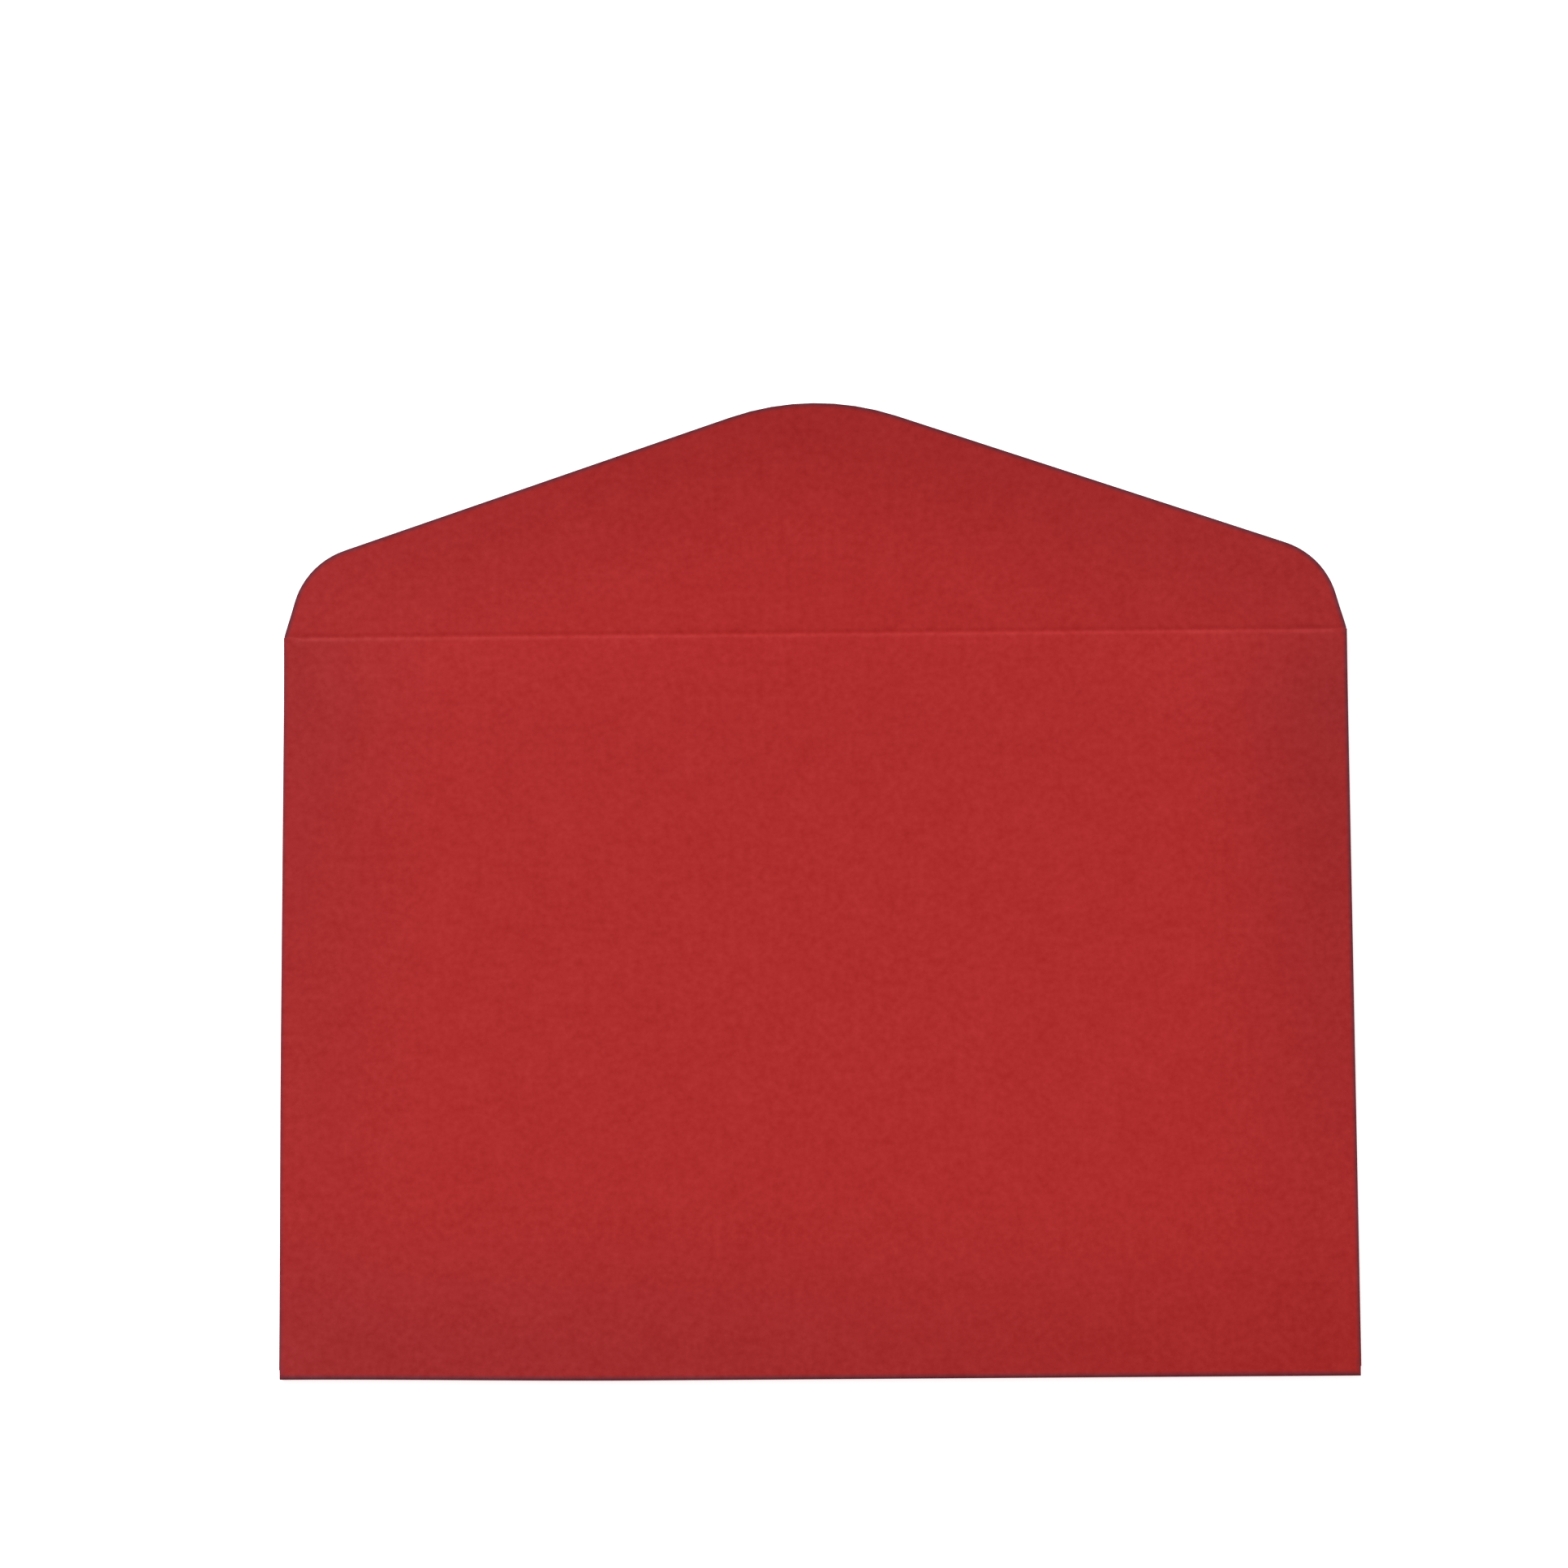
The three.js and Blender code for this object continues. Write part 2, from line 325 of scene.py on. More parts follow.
def fold_sheet(u, v):
    """Folded places of points of the flat drawing, and their places on the real flat sheet."""
    places = np.zeros((len(u), 3))
    flat = np.zeros((len(u), 2))
    in_middle = np.abs(u) <= edge_x
    zones = [
        (in_middle & (v >= edge_y), place_front),
        (~in_middle & (np.abs(u) <= side_flap_u), place_side_fold),
        (np.abs(u) > side_flap_u, place_side_flap),
        (in_middle & (v < edge_y) & (v >= back_top_v), place_bottom_fold),
        (in_middle & (v < back_top_v), place_back),
    ]
    for zone, place in zones:
        if zone.any():
            places[zone], flat[zone] = place(u[zone], v[zone])
    let_out_sideways(u, v, places)
    pull_corner(places)
    return places, flat


def let_out_sideways(u, v, places):
    """Moves the sheet's edges out beside the pinched ends, so that the body's edges stay straight."""
    near_edge = smooth(1 - (edge_x - np.abs(u)) / let_out_width)
    on_flap = smooth((v - crease_y) / let_out_length)
    on_back = smooth((back_top_v - v) / let_out_length)
    places[:, 0] += np.sign(u) * pinch(v) * near_edge * (1 - on_flap) * (1 - on_back)


def pull_corner(places):
    """Draws in the lower left corner."""
    near_left = smooth(1 - (places[:, 0] + body_half_width) / corner_pull_reach)
    near_bottom = smooth(1 - (places[:, 1] - body_bottom_y) / corner_pull_reach)
    places[:, 0] += corner_pull_x * near_left * near_bottom
    places[:, 1] += corner_pull_y * near_left * near_bottom


# Outlines in the flat drawing

def rounded(corners):
    """Points of a closed outline through the corners (x, y, radius), each one rounded."""
    points = []
    for index, (x, y, radius) in enumerate(corners):
        corner = Vector((x, y))
        if radius == 0:
            points.append(corner)
            continue
        before = (Vector(corners[index - 1][:2]) - corner).normalized()
        after = (Vector(corners[(index + 1) % len(corners)][:2]) - corner).normalized()
        half_angle = before.angle(after) / 2
        inward = (before + after).normalized()
        centre = corner + inward * radius / math.sin(half_angle)
        start = corner + before * radius / math.tan(half_angle) - centre
        turn = math.pi - 2 * half_angle
        if before.cross(after) > 0:
            turn = -turn
        count = max(2, round(abs(turn) / arc_step))
        for step in range(count + 1):
            angle = turn * step / count
            points.append(centre + Matrix.Rotation(angle, 2) @ start)
    return [tuple(point) for point in points]


def flap_corners(inset, start):
    """Right half of the flap's outline, moved inwards, from a height above the crease to its tip."""
    lean, slope = flap_side_lean, flap_edge_slope
    side_offset = flap_base_half_width * math.cos(lean) - inset
    slope_offset = (flap_height - flap_tip_radius) * math.cos(slope) + flap_tip_radius - inset
    meeting = math.cos(lean + slope)
    shoulder_x = (side_offset * math.cos(slope) - slope_offset * math.sin(lean)) / meeting
    shoulder_y = (slope_offset * math.cos(lean) - side_offset * math.sin(slope)) / meeting
    start_x = (side_offset - start * math.sin(lean)) / math.cos(lean)
    return [
        (start_x, crease_y + start, 0),
        (shoulder_x, crease_y + shoulder_y, flap_shoulder_radius - inset),
        (0, crease_y + slope_offset / math.cos(slope), flap_tip_radius - inset),
    ]


def mirrored(right_half):
    """A whole outline from its right half, which runs from bottom to top."""
    left_half = [(-x, y, radius) for x, y, radius in reversed(right_half) if x > 0]
    return right_half + left_half


def sheet_outline():
    """The die-cut sheet: back panel, side flaps and seal flap around the front panel."""
    side_start = (flap_base_half_width - edge_x) / math.tan(flap_side_lean)
    return rounded(mirrored([
        (throat_half_width, throat_v, throat_corner_radius),
        (edge_x, back_top_v, 0),
        (edge_x, side_flap_bottom_y, 0),
        (side_flap_u, side_flap_bottom_y, 0),
        (side_flap_u + side_flap_width, side_flap_bottom_y + side_flap_bottom_taper, 0),
        (side_flap_u + side_flap_width, crease_y - side_flap_top_taper, 0),
        (side_flap_u, crease_y, 0),
        (edge_x, crease_y, 0),
        *flap_corners(0, side_start),
    ]))


def seal_gum_outline():
    """The gum band along the flap's sloping edges. Its inner edge is straight down to its ends."""
    outer = mirrored(flap_corners(seal_gum_margin, seal_gum_start))
    inner_tip = flap_corners(seal_gum_margin + seal_gum_width, seal_gum_start)[-1]
    end_y = crease_y + seal_gum_start
    end_x = (inner_tip[1] - end_y) / math.tan(flap_edge_slope)
    return rounded(outer + [(-end_x, end_y, 0), inner_tip, (end_x, end_y, 0)])


def seam_gum_outline(side):
    """A glue film on the back panel's inner face, under a side flap."""
    top = back_top_v - (seam_gum_low[1] - edge_y)
    bottom = back_top_v - (seam_gum_high[1] - edge_y)
    xs = sorted((side * seam_gum_low[0], side * seam_gum_high[0]))
    corners = [(xs[0], bottom), (xs[1], bottom), (xs[1], top), (xs[0], top)]
    return rounded([(x, y, seam_gum_corner_radius) for x, y in corners])


# Meshes

def even_lines(start, end, step):
    """Evenly spaced values from start to end, at most a step apart."""
    return list(np.linspace(start, end, math.ceil((end - start) / step) + 1))


def grid_lines():
    """Values of u and of v where the sheet's mesh has its rows of points."""
    strip = [fold_strip * k / fold_facets for k in range(1, fold_facets)]
    wing = [edge_x] + [edge_x + s for s in strip] + [side_flap_u]
    wing += even_lines(side_flap_u + fold_rim_width, side_flap_u + side_flap_width, panel_step)
    u_lines = even_lines(fold_rim_width - edge_x, edge_x - fold_rim_width, panel_step)
    u_lines += wing + [-u for u in wing]
    v_lines = even_lines(throat_v, back_top_v - fold_rim_width, panel_step)
    v_lines += [back_top_v] + [back_top_v + s for s in strip] + [edge_y]
    v_lines += even_lines(edge_y + fold_rim_width, crease_y - crease_zone, panel_step)
    v_lines += even_lines(crease_y - crease_zone, crease_y + crease_zone, crease_step)
    v_lines += even_lines(crease_y + crease_zone, crease_y + flap_height, panel_step)
    return np.unique(np.round(u_lines, 6)), np.unique(np.round(v_lines, 6))


def split_at_lines(outline, u_lines, v_lines):
    """The outline with a point wherever it crosses a row of the mesh."""
    points = []
    for index, start in enumerate(outline):
        end = outline[(index + 1) % len(outline)]
        start, end = np.array(start), np.array(end)
        length = np.hypot(*(end - start))
        if length < tiny:
            continue
        cuts = [0.0]
        for axis, lines in ((0, u_lines), (1, v_lines)):
            run = end[axis] - start[axis]
            if abs(run) > tiny:
                cuts += [t for t in (lines - start[axis]) / run if 0 < t < 1]
        kept = []
        for t in sorted(cuts):
            clear_of_end = (1 - t) * length > shortest_rim_edge
            if clear_of_end and (not kept or (t - kept[-1]) * length > shortest_rim_edge):
                kept.append(t)
        points += [start + (end - start) * t for t in kept]
    return np.array(points)


def inset_line(outline, distance):
    """The closed outline, which runs anticlockwise, moved inwards."""
    before = outline - np.roll(outline, 1, axis=0)
    after = np.roll(outline, -1, axis=0) - outline
    before /= np.linalg.norm(before, axis=1, keepdims=True)
    after /= np.linalg.norm(after, axis=1, keepdims=True)
    normal = np.stack([-(before + after)[:, 1], (before + after)[:, 0]], axis=1)
    normal /= np.linalg.norm(normal, axis=1, keepdims=True)
    side = np.stack([-after[:, 1], after[:, 0]], axis=1)
    spread = np.maximum((normal * side).sum(axis=1, keepdims=True), least_corner_spread)
    return outline + normal * distance / spread


def distance_to(outline, points):
    """Distance of each point from the closed outline, negative outside it."""
    nearest = np.full(len(points), np.inf)
    inside = np.zeros(len(points), bool)
    for start, end in zip(outline, np.roll(outline, -1, axis=0)):
        run = end - start
        t = np.clip(((points - start) @ run) / (run @ run), 0, 1)
        gap = points - start - t[:, None] * run
        nearest = np.minimum(nearest, np.hypot(gap[:, 0], gap[:, 1]))
        if start[1] != end[1]:
            crosses = (start[1] > points[:, 1]) != (end[1] > points[:, 1])
            at_x = start[0] + (points[:, 1] - start[1]) * run[0] / run[1]
            inside ^= crosses & (points[:, 0] < at_x)
    return np.where(inside, nearest, -nearest)


def filled(points, loops):
    """A mesh of quads and triangles over the points, inside the outer one of the loops."""
    inside_only = 1
    verts, _, faces, *_ = geometry.delaunay_2d_cdt(points, loops, [], inside_only, merge_distance)
    mesh = bmesh.new()
    made = [mesh.verts.new((vert.x, vert.y, 0)) for vert in verts]
    for face in faces:
        mesh.faces.new([made[k] for k in face])
    bmesh.ops.join_triangles(mesh, faces=mesh.faces[:], angle_face_threshold=math.pi,
                             angle_shape_threshold=quad_shape_limit)
    mesh.verts.index_update()
    return mesh


def flat_mesh(outline, u_lines, v_lines, rim):
    """Fills an outline: points, faces, which points are on the rim, and the rim's edges."""
    outer = split_at_lines(outline, u_lines, v_lines)
    inner = inset_line(outer, rim)
    grid = np.array([(u, v) for u in u_lines for v in v_lines])
    grid = grid[distance_to(outer, grid) > rim_clearance * rim]
    points = [Vector(point) for point in np.vstack([outer, inner, grid])]
    count = len(outer)
    loops = [(start + k, start + (k + 1) % count) for start in (0, count) for k in range(count)]
    mesh = filled(points, loops)
    on_rim = np.array([vert.is_boundary for vert in mesh.verts])
    places = np.array([vert.co[:2] for vert in mesh.verts])
    faces = [[vert.index for vert in face.verts] for face in mesh.faces]
    rim_edges = [directed_rim_edge(edge) for edge in mesh.edges if edge.is_boundary]
    mesh.free()
    return places, faces, on_rim, rim_edges


def directed_rim_edge(edge):
    """The two points of a rim edge, in the order in which its face has them."""
    loop = edge.link_loops[0]
    return loop.vert.index, loop.link_loop_next.vert.index


def middle_normals(places, faces):
    """Normals of a single-sided mesh at its points."""
    mesh = bpy.data.meshes.new("middle")
    mesh.from_pydata(places.tolist(), [], faces)
    normals = np.zeros(len(places) * 3)
    mesh.vertex_normals.foreach_get("vector", normals)
    bpy.data.meshes.remove(mesh)
    return normals.reshape(-1, 3)


def layer(name, outline, outer_offset, inner_offset, rim, materials):
    """
    A layer of the folded sheet, between two offsets from the middle of the paper. Offsets count
    towards the sheet's outer side. Materials are for the outer side, the inner side and the rim.
    """
    flat, faces, on_rim, rim_edges = flat_mesh(outline, *grid_lines(), rim)
    places, true_flat = fold_sheet(flat[:, 0], flat[:, 1])
    normals = middle_normals(places, faces)
    count = len(places)
    kept = 1 - squeeze(*flat.T)[:, None]
    points = np.vstack([places + normals * outer_offset, places + normals * inner_offset * kept])
    outer_faces = faces
    inner_faces = [[k + count for k in reversed(face)] for face in faces]
    rim_faces = [[b, a, a + count, b + count] for a, b in rim_edges]
    mesh = bpy.data.meshes.new(name)
    mesh.from_pydata((points * MM).tolist(), [], outer_faces + inner_faces + rim_faces)
    for material in materials:
        mesh.materials.append(material)
    slots = [0] * len(outer_faces) + [1] * len(inner_faces) + [2] * len(rim_faces)
    mesh.polygons.foreach_set("material_index", slots)
    mesh.shade_smooth()
    mark_rim_sharp(mesh, count, rim_edges)
    offsets = np.repeat([outer_offset, inner_offset], count)[:, None]
    add_attribute(mesh, "sheet_place", np.hstack([np.vstack([true_flat, true_flat]), offsets]))
    add_attribute(mesh, "tint", sheet_shade_and_tint(flat, on_rim))
    piece = bpy.data.objects.new(name, mesh)
    bpy.context.scene.collection.objects.link(piece)
    return piece


def tinted_by(amount, tint):
    """Factors on a colour that go from 1 to the tint as the painted amount goes from 0 to 1."""
    return 1 + amount[:, None] * (np.array(tint) - 1)


def sheet_shade_and_tint(flat, on_rim):
    """Factors on the paper's colour, with its painted shade and painted crease light, at the points of
    a layer's outer side, then its inner side.
    """
    u, v = flat.T
    outer_rim, inner_rim = rim_painted_shade(u, v, on_rim)
    painted_shade_and_tone = painted_edge_shade(u, v) * dulling(u, v)
    outer = painted_shade_and_tone * tinted_by(outer_rim, rim_shade_tint) * tinted_by(crease_light_and_shade(u, v), crease_light_tint)
    return np.vstack([outer, painted_shade_and_tone * tinted_by(inner_rim, rim_shade_tint)])


def crease_light_and_shade(u, v):
    """Painted light and shade along the crease's flanks, above 0 where it is a pale painted highlight
    and below 0 where it is dark painted shade.
    """
    pale = np.exp(-((v - crease_y + crease_light_below) / crease_light_spread) ** 2 / 2)
    dark = np.exp(-((v - crease_y - crease_shade_above) / crease_light_spread) ** 2 / 2)
    gain = 1 - crease_light_left_gain * u / body_half_width
    fade = smooth((edge_x - np.abs(u)) / groove_end_fade)
    return (pale - crease_shade_share * dark) * gain * fade


def rim_painted_shade(u, v, on_rim):
    """How dark the painted shade line along the rim is at the points of a layer's outer side and of
    its inner side.
    """
    half = fold_strip / 2
    from_side = np.abs(np.abs(u) - edge_x - half) - half
    from_bottom = np.abs(v - edge_y + half) - half
    near_left = (from_side < from_bottom) & (u < 0)
    strength = np.where(near_left, left_fold_rim_shade, fold_rim_shade)
    from_fold = np.minimum(from_side, from_bottom)
    folds = strength * np.clip(1 - from_fold / fold_rim_width, 0, 1)
    sides = []
    for on_flap in (1, rim_inside_flap):
        cuts = on_rim * np.where(v > crease_y, on_flap, rim_on_other_cuts)
        sides.append(np.maximum(cuts, folds))
    return sides


def mark_rim_sharp(mesh, count, rim_edges):
    """Makes the cut edge of a layer crisp on both sides."""
    rim = {frozenset((a + side, b + side)) for a, b in rim_edges for side in (0, count)}
    for edge in mesh.edges:
        edge.use_edge_sharp = frozenset(edge.vertices) in rim


def add_attribute(mesh, name, values):
    """Stores a vector at each point of the mesh."""
    made = mesh.attributes.new(name, "FLOAT_VECTOR", "POINT")
    made.data.foreach_set("vector", np.asarray(values, dtype=np.float32).ravel())


# Painted shade on the paper towards the envelope's edges

left_edge_shade = 0.103
left_edge_shade_gain_up = 0.49
right_edge_shade = 0.133
right_edge_shade_gain_up = 0.72
side_shade_width = 25.7
side_shade_relief = 0.54
side_shade_relief_length = 14.0
bottom_shade = 0.125
bottom_shade_width = 28.9
flap_edge_shade = 0.097
flap_edge_shade_width = 23.9
flap_shade_right = 0.05
flap_shade_up = 0.112
flap_shade_up_power = 1.5
top_shade = 0.025
top_shade_middle = 10.0
top_shade_half_width = 45.0
top_shade_length = 32.0

# The body's painted shade is dull: green and blue change less than red
body_shade_powers = (1, 0.5, 0.25)

# Shares of green and blue that the paper has more towards the left, most of all at the bottom,
# and less in the middle of the flap but more at its two ends
left_dulling = (0, 0.034, 0.034)
bottom_left_dulling = (0, 0.10, 0.163)
flap_middle_dulling = (0, -0.042, -0.037)
flap_end_dulling = (0, 0.174, 0.206)
flap_dulling_fade = 30.0


def painted_edge_shade(u, v):
    """Factors on the paper's colour: painted shade that makes it a little darker towards the
    envelope's edges.
    """
    inward = edge_x - np.minimum(np.abs(u), edge_x)
    up = np.clip(v / crease_y, -1, 1)
    left = left_edge_shade * (1 + left_edge_shade_gain_up * up)
    right = right_edge_shade * (1 + right_edge_shade_gain_up * up)
    relief = side_shade_relief * smooth(1 - (crease_y - v) / side_shade_relief_length)
    sides = np.where(u < 0, left, right) * (1 - relief) * (1 - smooth(inward / side_shade_width))
    bottom = bottom_shade * (1 - smooth(np.abs(v - edge_y) / bottom_shade_width))
    top = top_shade * smooth(1 - (crease_y - v) / top_shade_length)
    top = top * np.exp(-((u - top_shade_middle) / top_shade_half_width) ** 2)
    body = ((1 - sides) * (1 - bottom) * (1 - top))[:, None] ** np.array(body_shade_powers)
    outline = np.array(rounded(mirrored(flap_corners(0, -flap_edge_shade_width))))
    from_rim = np.maximum(distance_to(outline, np.stack([u, v], axis=1)), 0)
    flap = 1 - flap_edge_shade * (1 - smooth(from_rim / flap_edge_shade_width))
    up_flap = np.clip((v - crease_y) / flap_height, 0, 1)
    flap = flap * (1 - flap_shade_right * u / body_half_width)
    flap = flap * (1 - flap_shade_up * up_flap ** flap_shade_up_power)
    return np.where((v > crease_y)[:, None], flap[:, None], body)


def dulling(u, v):
    """Factors on the paper's colour: it is a little duller where it has more green and blue."""
    across = np.clip(u / body_half_width, -1, 1)[:, None]
    low = (1 - smooth(np.abs(v - edge_y) / bottom_shade_width))[:, None]
    high = smooth(1 - (crease_y - v) / flap_dulling_fade)[:, None]
    leftward = across * (np.array(left_dulling) + low * np.array(bottom_left_dulling))
    flap = np.array(flap_middle_dulling) + across ** 2 * np.array(flap_end_dulling)
    return (1 - leftward) * (1 + high * flap)


# Materials

# Colours
paper_red = (0.4175, 0.0235, 0.0226)
cut_edge_red = (0.30, 0.014, 0.013)
seal_gum_red = (0.30, 0.013, 0.012)
seam_gum_cream = (0.62, 0.54, 0.41)
white = (1, 1, 1, 1)

# Mottle of the paper: the size, detail and depth of each of its noises. It shows more in the paper's
# weak green and blue than in its red, which makes part of it a painted sheen of pale glints.
mottle_noises = ((16.0, 1.0, 0.05), (4.5, 2.0, 0.12), (1.1, 3.0, 0.30))
mottle_and_sheen_depths = (1, 2.95, 2.95)

# Fibres of the paper, in several directions
fibre_directions = 3
fibre_first_turn_degrees = 17
fibre_size = 0.16
fibre_stretch = (6, 1, 1)
fibre_detail = 2.0
fibre_mottle_depth = 0.15

# Relief and gloss of the paper
fibre_relief_share = 0.7
grain_size = 0.3
grain_detail = 3.0
paper_relief = 0.012
paper_gloss = 0.1
paper_roughness = 0.88
cut_edge_roughness = 0.95

# Streaks that the roller left in the gum, and its gloss
gum_streak_size = 1.2
gum_streak_stretch = (4, 1, 1)
gum_streak_detail = 3.0
gum_darkest = 0.93
gum_palest = 1.05
gum_relief = 0.01
gum_relief_strength = 0.6
seal_gum_roughness = 0.38
seam_gum_roughness = 0.5

# Range that most values of a noise lie in, and how much its finer layers count
noise_low = 0.3
noise_high = 0.7
noise_roughness = 0.55


def new_material(name):
    """An empty node material and its tree."""
    material = bpy.data.materials.new(name)
    material.use_nodes = True
    material.node_tree.nodes.clear()
    return material, material.node_tree


def node(tree, kind, inputs=None, **settings):
    """A node with its settings, and its inputs set to values or linked to sockets."""
    made = tree.nodes.new(kind)
    for key, value in settings.items():
        setattr(made, key, value)
    for key, value in (inputs or {}).items():
        if isinstance(value, bpy.types.NodeSocket):
            tree.links.new(value, made.inputs[key])
        else:
            made.inputs[key].default_value = value
    return made


def attribute(tree, name):
    """The vector that the mesh stores at its points under a name."""
    return node(tree, "ShaderNodeAttribute", attribute_name=name).outputs["Vector"]


def maths(tree, operation, first, second=0.0, third=0.0):
    """The output of a Math node."""
    inputs = {0: first, 1: second, 2: third}
    return node(tree, "ShaderNodeMath", inputs, operation=operation).outputs[0]


def between(tree, value, low, high, to_low, to_high):
    """The value, carried from one range to another and kept inside it."""
    inputs = {"Value": value, "From Min": low, "From Max": high, "To Min": to_low, "To Max": to_high}
    return node(tree, "ShaderNodeMapRange", inputs).outputs["Result"]


def noise_value(tree, place, size, detail, stretch=(1, 1, 1), turn=0.0):
    """Noise with features of about a size in millimetres, stretched and turned in the sheet."""
    turned = node(tree, "ShaderNodeVectorRotate", {"Vector": place, "Angle": turn},
                  rotation_type="Z_AXIS")
    scale = tuple(1 / (size * s) for s in stretch)
    scaled = node(tree, "ShaderNodeVectorMath", {0: turned.outputs[0], 1: scale},
                  operation="MULTIPLY")
    inputs = {"Vector": scaled.outputs[0], "Scale": 1.0, "Detail": detail,
              "Roughness": noise_roughness}
    return node(tree, "ShaderNodeTexNoise", inputs).outputs["Fac"]


def scaled_colour(tree, colour, factor):
    """A colour, times a factor."""
    inputs = {0: colour, "Scale": factor}
    return node(tree, "ShaderNodeVectorMath", inputs, operation="SCALE").outputs[0]


def multiplied(tree, colour, factors):
    """A colour, times a factor for each of its parts."""
    inputs = {0: colour, 1: factors}
    return node(tree, "ShaderNodeVectorMath", inputs, operation="MULTIPLY").outputs[0]


def fibre_height(tree, place):
    """Short fibres in several directions, as heights about 0.5."""
    total = 0.0
    for k in range(fibre_directions):
        turn = math.radians(fibre_first_turn_degrees + k * 180 / fibre_directions)
        fibres = noise_value(tree, place, fibre_size, fibre_detail, fibre_stretch, turn)
        total = maths(tree, "ADD", total, fibres)
    return maths(tree, "DIVIDE", total, fibre_directions)


def paper_material(name, colour, roughness, painted_shade_and_tone):
    """Uncoated paper, dyed through: faintly mottled at several scales, with fine fibres, and a painted
    sheen in the mottle. When asked, its colour also takes the painted shade and tint stored in the
    mesh.
    """
    material, tree = new_material(name)
    place = attribute(tree, "sheet_place")
    fibres = fibre_height(tree, place)
    layers = [(noise_value(tree, place, size, detail), depth)
              for size, detail, depth in mottle_noises]
    base = mottled(tree, colour, layers + [(fibres, fibre_mottle_depth)])
    if painted_shade_and_tone:
        base = multiplied(tree, base, attribute(tree, "tint"))
    grain = noise_value(tree, place, grain_size, grain_detail)
    grain_height = maths(tree, "MULTIPLY", grain, 1 - fibre_relief_share)
    height = maths(tree, "MULTIPLY_ADD", fibres, fibre_relief_share, grain_height)
    bump = node(tree, "ShaderNodeBump",
                {"Strength": 1.0, "Distance": paper_relief * MM, "Height": height})
    surface = node(tree, "ShaderNodeBsdfPrincipled", {
        "Base Color": base, "Roughness": roughness, "Specular IOR Level": paper_gloss,
        "Normal": bump.outputs[0]})
    node(tree, "ShaderNodeOutputMaterial", {"Surface": surface.outputs[0]})
    return material


def mottled(tree, colour, layers):
    """The colour with a faint pale and dark mottle, partly a painted sheen: layers are noises about
    0.5, and their depths.
    """
    total = 0.0
    for value, depth in layers:
        centred = maths(tree, "MULTIPLY_ADD", value, depth, -depth / 2)
        total = maths(tree, "ADD", total, centred)
    factor = node(tree, "ShaderNodeVectorMath", {0: total, 1: mottle_and_sheen_depths, 2: (1, 1, 1)},
                  operation="MULTIPLY_ADD")
    return multiplied(tree, colour, factor.outputs[0])


def gum_material(name, colour, roughness):
    """Dried gum: a smooth film over the paper, a little uneven from the roller."""
    material, tree = new_material(name)
    place = attribute(tree, "sheet_place")
    streaks = noise_value(tree, place, gum_streak_size, gum_streak_detail, gum_streak_stretch)
    factor = between(tree, streaks, noise_low, noise_high, gum_darkest, gum_palest)
    base = scaled_colour(tree, colour, factor)
    bump = node(tree, "ShaderNodeBump", {
        "Strength": gum_relief_strength, "Distance": gum_relief * MM, "Height": streaks})
    surface = node(tree, "ShaderNodeBsdfPrincipled", {
        "Base Color": base, "Roughness": roughness, "Normal": bump.outputs[0]})
    node(tree, "ShaderNodeOutputMaterial", {"Surface": surface.outputs[0]})
    return material


# Camera, light and table

photo_width = 1932
focal_pixels = 9141.2
sensor_width = 36.0
nearest_seen = 10.0
farthest_seen = 100000.0
camera_distance = 1127.3
camera_target = Vector((-4.806, 33.93, 0))
camera_azimuth = math.radians(5.52)
camera_elevation = math.radians(78.385)
camera_roll = math.radians(-5.895)

ambient_light = 0.42
bounced_light = 0.85
horizon_blend = 0.05
key_elevation = math.radians(36)
key_azimuth = math.radians(30)
key_softness = math.radians(30)

table_drop = 0.4
table_half_width = 3000.0
table_grey = (0.9, 0.9, 0.9, 1)
table_glow = 0.7


def add_camera():
    """The photograph's camera: high above the bottom edge, turned a little."""
    data = bpy.data.cameras.new("camera")
    data.sensor_width = sensor_width
    data.lens = focal_pixels / photo_width * sensor_width
    data.clip_start = nearest_seen * MM
    data.clip_end = farthest_seen * MM
    camera = bpy.data.objects.new("camera", data)
    bpy.context.scene.collection.objects.link(camera)
    flat = math.cos(camera_elevation)
    back = Vector((math.sin(camera_azimuth) * flat, -math.cos(camera_azimuth) * flat,
                   math.sin(camera_elevation)))
    right = Vector((0, 0, 1)).cross(back).normalized()
    up = back.cross(right)
    turned_right = math.cos(camera_roll) * right + math.sin(camera_roll) * up
    turned_up = math.cos(camera_roll) * up - math.sin(camera_roll) * right
    turn = Matrix((turned_right, turned_up, back)).transposed()
    place = (camera_target + back * camera_distance) * MM
    camera.matrix_world = Matrix.LocRotScale(place, turn, None)
    bpy.context.scene.camera = camera


def add_key_light():
    """A large soft light from the upper left, which with the room's light makes a plain level."""
    data = bpy.data.lights.new("key", "SUN")
    data.energy = (1 - ambient_light) * math.pi / math.sin(key_elevation)
    data.angle = key_softness
    key = bpy.data.objects.new("key", data)
    bpy.context.scene.collection.objects.link(key)
    flat = math.cos(key_elevation)
    towards = Vector((-math.sin(key_azimuth) * flat, math.cos(key_azimuth) * flat,
                      math.sin(key_elevation)))
    key.rotation_euler = towards.to_track_quat("Z", "Y").to_euler()


def seen_directly(tree):
    """1 for rays from the camera, or by way of a mirror or glass, and 0 for other rays."""
    rays = node(tree, "ShaderNodeLightPath").outputs
    seen = maths(tree, "MAXIMUM", rays["Is Camera Ray"], rays["Is Glossy Ray"])
    return maths(tree, "MAXIMUM", seen, rays["Is Transmission Ray"])


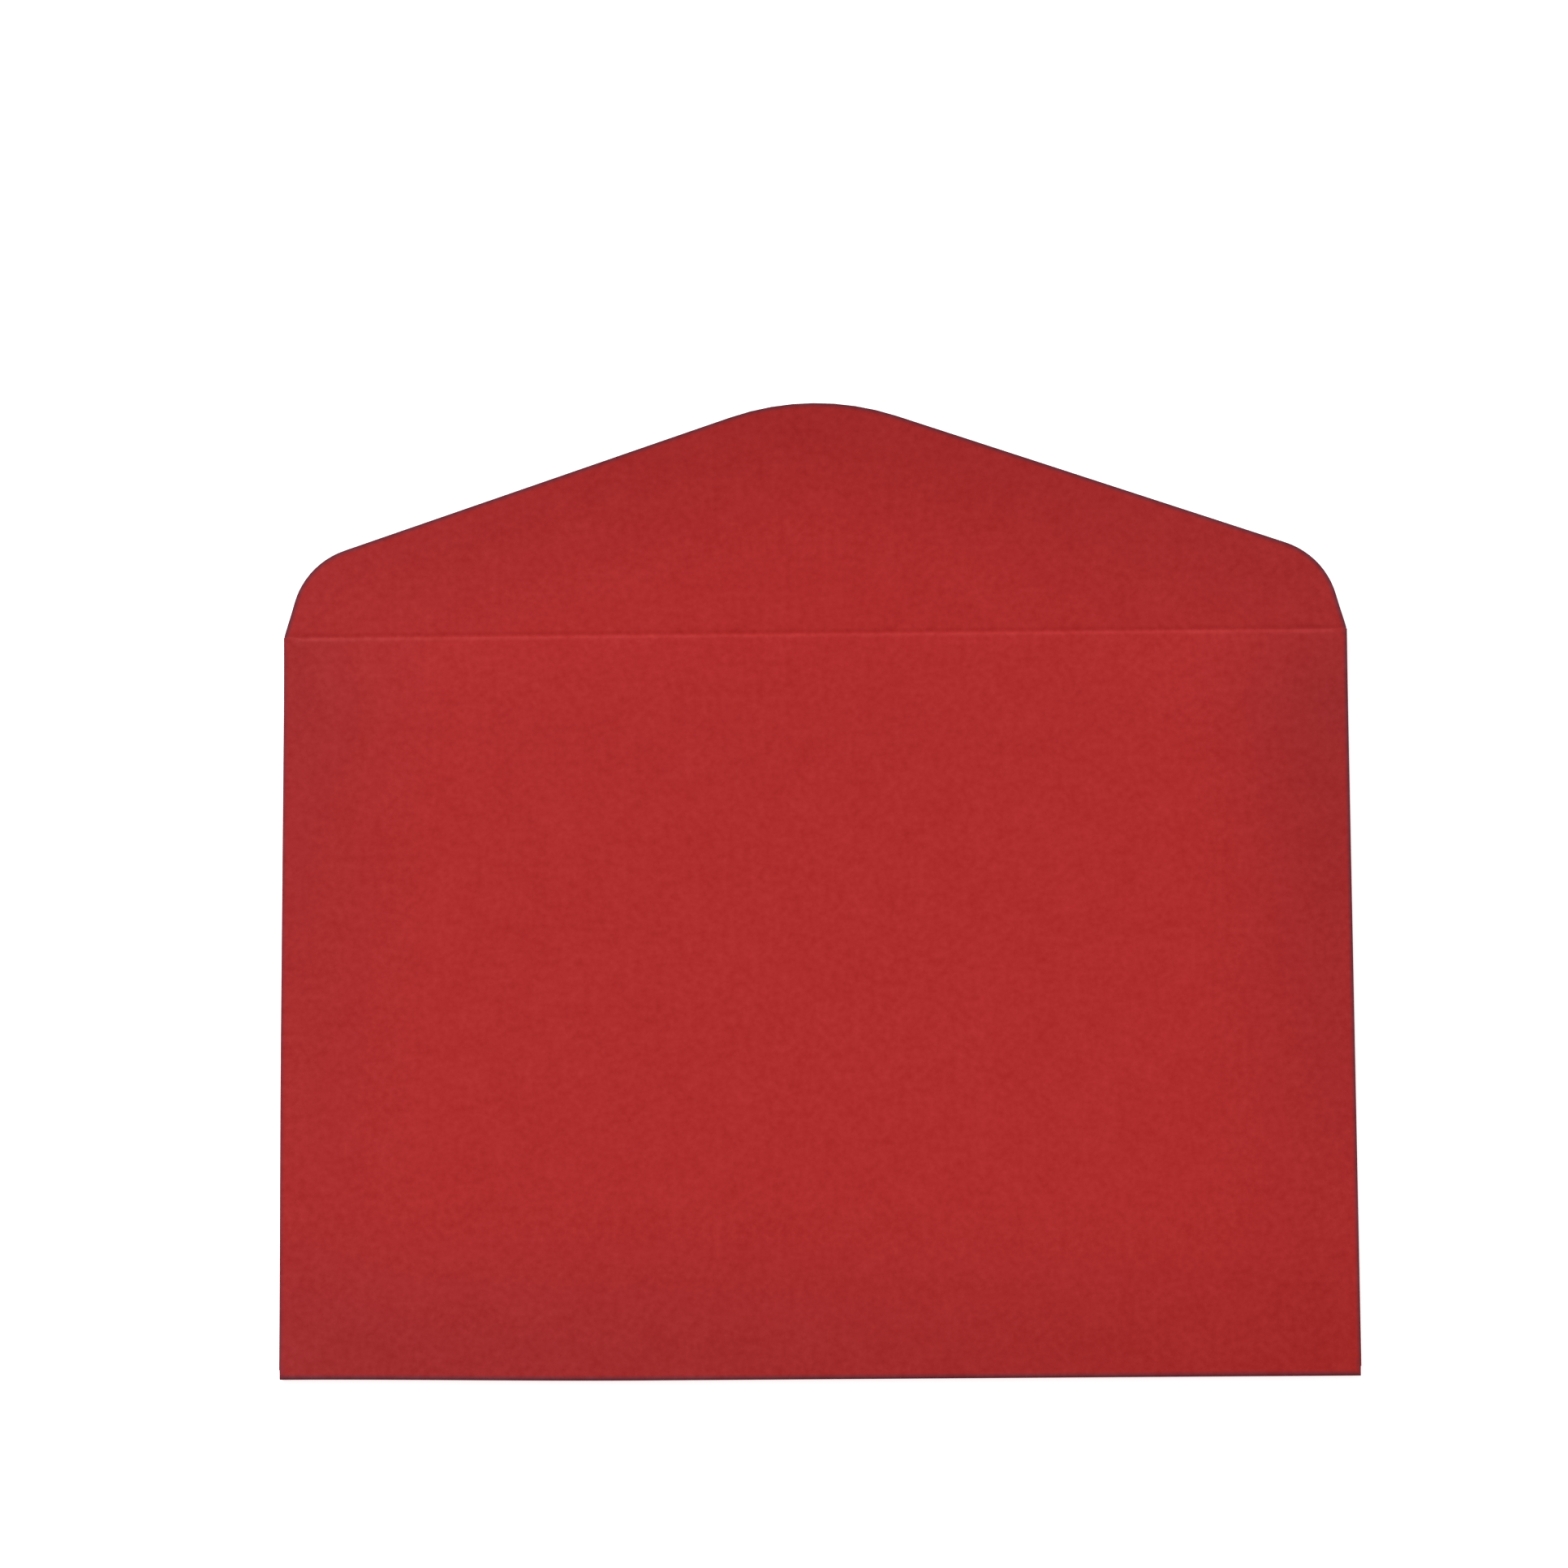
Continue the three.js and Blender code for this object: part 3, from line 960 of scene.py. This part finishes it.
def add_room():
    """The room's even light and, from below, what a white table throws back. It looks white."""
    world = bpy.data.worlds.new("room")
    bpy.context.scene.world = world
    world.use_nodes = True
    tree = world.node_tree
    tree.nodes.clear()
    direction = node(tree, "ShaderNodeTexCoord").outputs["Generated"]
    upward = node(tree, "ShaderNodeSeparateXYZ", {0: direction}).outputs["Z"]
    level = between(tree, upward, -horizon_blend, horizon_blend, bounced_light, ambient_light)
    strength = between(tree, seen_directly(tree), 0, 1, level, 1)
    background = node(tree, "ShaderNodeBackground", {"Color": white, "Strength": strength})
    node(tree, "ShaderNodeOutputWorld", {"Surface": background.outputs[0]})


def table_material():
    """A white table that keeps a faint shadow. From below it is clear, so the back can be seen."""
    material, tree = new_material("table_white")
    matt = node(tree, "ShaderNodeBsdfDiffuse", {"Color": table_grey})
    glow = node(tree, "ShaderNodeEmission", {"Color": white, "Strength": table_glow})
    both = node(tree, "ShaderNodeAddShader", {0: matt.outputs[0], 1: glow.outputs[0]})
    looked_at = node(tree, "ShaderNodeMixShader",
                     {0: seen_directly(tree), 1: matt.outputs[0], 2: both.outputs[0]})
    clear = node(tree, "ShaderNodeBsdfTransparent")
    below = node(tree, "ShaderNodeNewGeometry").outputs["Backfacing"]
    shown = node(tree, "ShaderNodeMixShader", {0: below, 1: looked_at.outputs[0], 2: clear.outputs[0]})
    node(tree, "ShaderNodeOutputMaterial", {"Surface": shown.outputs[0]})
    return material


def add_table():
    """The table, just below the envelope's back. It takes no light from the back."""
    half = table_half_width * MM
    mesh = bpy.data.meshes.new("table")
    corners = [(-half, -half), (half, -half), (half, half), (-half, half)]
    mesh.from_pydata([(x, y, -table_drop * MM) for x, y in corners], [], [(0, 1, 2, 3)])
    mesh.materials.append(table_material())
    table = bpy.data.objects.new("table", mesh)
    bpy.context.scene.collection.objects.link(table)
    table.visible_diffuse = False
    table.visible_shadow = False


# Build

def add_sheet():
    """The folded sheet of paper."""
    outside = paper_material("paper_outside", paper_red, paper_roughness, painted_shade_and_tone=True)
    inside = paper_material("paper_inside", paper_red, paper_roughness, painted_shade_and_tone=True)
    cut_edge = paper_material("paper_cut_edge", cut_edge_red, cut_edge_roughness, painted_shade_and_tone=False)
    half = thickness / 2
    sheet = layer("paper_sheet", sheet_outline(), half, -half, rim_width,
                  [outside, inside, cut_edge])
    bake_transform(sheet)
    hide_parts("front_panel", "back_panel", "left_side_fold", "right_side_fold",
                "bottom_fold", "left_side_flap", "right_side_flap", "flap_crease", "seal_flap")


def gum_film(name, outline, material):
    """A film of gum on the sheet's inner side."""
    paper_face = -thickness / 2
    return layer(name, outline, paper_face + gum_sink, paper_face - gum_thickness, gum_rim_width,
                 [material, material, material])


def add_seal_gum():
    """The band of gum inside the flap."""
    material = gum_material("seal_gum", seal_gum_red, seal_gum_roughness)
    band = gum_film("seal_gum_band", seal_gum_outline(), material)
    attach(band, "flap")
    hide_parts("seal_gum")


def add_seam_gums():
    """The glue between the back panel and each side flap."""
    material = gum_material("seam_gum", seam_gum_cream, seam_gum_roughness)
    for side, word in ((-1, "left"), (1, "right")):
        film = gum_film(word + "_seam_gum_film", seam_gum_outline(side), material)
        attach(film, "pocket")
        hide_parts(word + "_seam_gum")


add_camera()
add_key_light()
add_room()
add_table()
add_sheet()
add_seal_gum()
add_seam_gums()

bpy.context.scene.view_settings.view_transform = "Standard"
